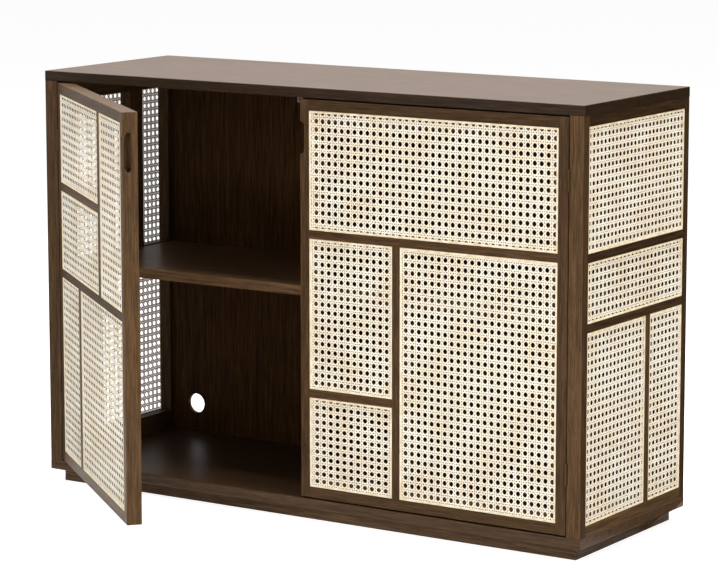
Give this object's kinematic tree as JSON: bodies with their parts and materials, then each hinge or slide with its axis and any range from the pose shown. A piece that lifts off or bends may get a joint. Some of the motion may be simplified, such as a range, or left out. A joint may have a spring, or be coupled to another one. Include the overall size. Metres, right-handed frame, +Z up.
{
  "type": "record cabinet",
  "caption": "Low wooden cabinet on a recessed plinth, with asymmetric woven cane panels in its doors and ends, a centre divider, shelves and round cable outlets in the back.",
  "frame": {"origin": "on the floor under the middle of the cabinet, at the underside of the plinth's middle rail", "axes": "+X to the right along the front, +Y to the back, +Z up; the doors face -Y"},
  "size_m": [1.2, 0.7624, 0.818],
  "materials": {
    "frame_wood": "satin",
    "panel_wood": "satin",
    "back_wood": "satin",
    "plinth_wood": "satin",
    "tenon_wood": "matte",
    "cane": "satin woven cane",
    "hinge_metal": "antique bronze finish",
    "catch_metal": "nickel plated",
    "pin_metal": "nickel plated"
  },
  "bodies": {
    "cabinet": {"top_panel": "panel_wood", "bottom_panel": "panel_wood", "back_panel": "back_wood", "divider": "panel_wood", "left_shelf": "panel_wood", "right_shelf": "panel_wood", "plinth_front": "plinth_wood", "plinth_back": "plinth_wood", "plinth_left": "plinth_wood", "plinth_right": "plinth_wood", "plinth_middle_rail": "plinth_wood", "right_end_front_stile": "frame_wood", "right_end_back_stile": "frame_wood", "right_end_bottom_rail": "frame_wood", "right_end_top_rail": "frame_wood", "right_end_upper_rail": "frame_wood", "right_end_lower_rail": "frame_wood", "right_end_mullion": "frame_wood", "left_end_front_stile": "frame_wood", "left_end_back_stile": "frame_wood", "left_end_bottom_rail": "frame_wood", "left_end_top_rail": "frame_wood", "left_end_middle_rail": "frame_wood", "left_end_upper_mullion": "frame_wood", "left_end_lower_mullion": "frame_wood", "right_end_cane": "cane", "left_end_cane": "cane", "end_frame_loose_tenons": "tenon_wood", "shelf_pins": "pin_metal", "catches": "catch_metal", "post_hinge_leaves": "hinge_metal", "hinge_pins": "hinge_metal"},
    "left_door": {"left_door_hinge_stile": "frame_wood", "left_door_free_stile": "frame_wood", "left_door_bottom_rail": "frame_wood", "left_door_top_rail": "frame_wood", "left_door_middle_rail": "frame_wood", "left_door_upper_mullion": "frame_wood", "left_door_short_rail": "frame_wood", "left_door_lower_mullion": "frame_wood", "left_door_top_cane": "cane", "left_door_middle_cane": "cane", "left_door_tall_upper_cane": "cane", "left_door_narrow_lower_cane": "cane", "left_door_main_cane": "cane", "left_door_hinge_leaves": "hinge_metal", "left_door_strike": "catch_metal"},
    "right_door": {"right_door_hinge_stile": "frame_wood", "right_door_free_stile": "frame_wood", "right_door_bottom_rail": "frame_wood", "right_door_top_rail": "frame_wood", "right_door_middle_rail": "frame_wood", "right_door_mullion": "frame_wood", "right_door_short_rail": "frame_wood", "right_door_top_cane": "cane", "right_door_small_upper_cane": "cane", "right_door_small_lower_cane": "cane", "right_door_main_cane": "cane", "right_door_hinge_leaves": "hinge_metal", "right_door_strike": "catch_metal"}
  },
  "joints": [
    {"name": "left_door_hinge", "type": "hinge", "parent": "cabinet", "child": "left_door", "pos_m": [-0.57, -0.2008, 0.4215], "axis": [0, 0, -1], "range_deg": [-39.65, 130.35]},
    {"name": "right_door_hinge", "type": "hinge", "parent": "cabinet", "child": "right_door", "pos_m": [0.57, -0.2008, 0.4215], "axis": [0, 0, 1], "range_deg": [0, 170]}
  ]
}
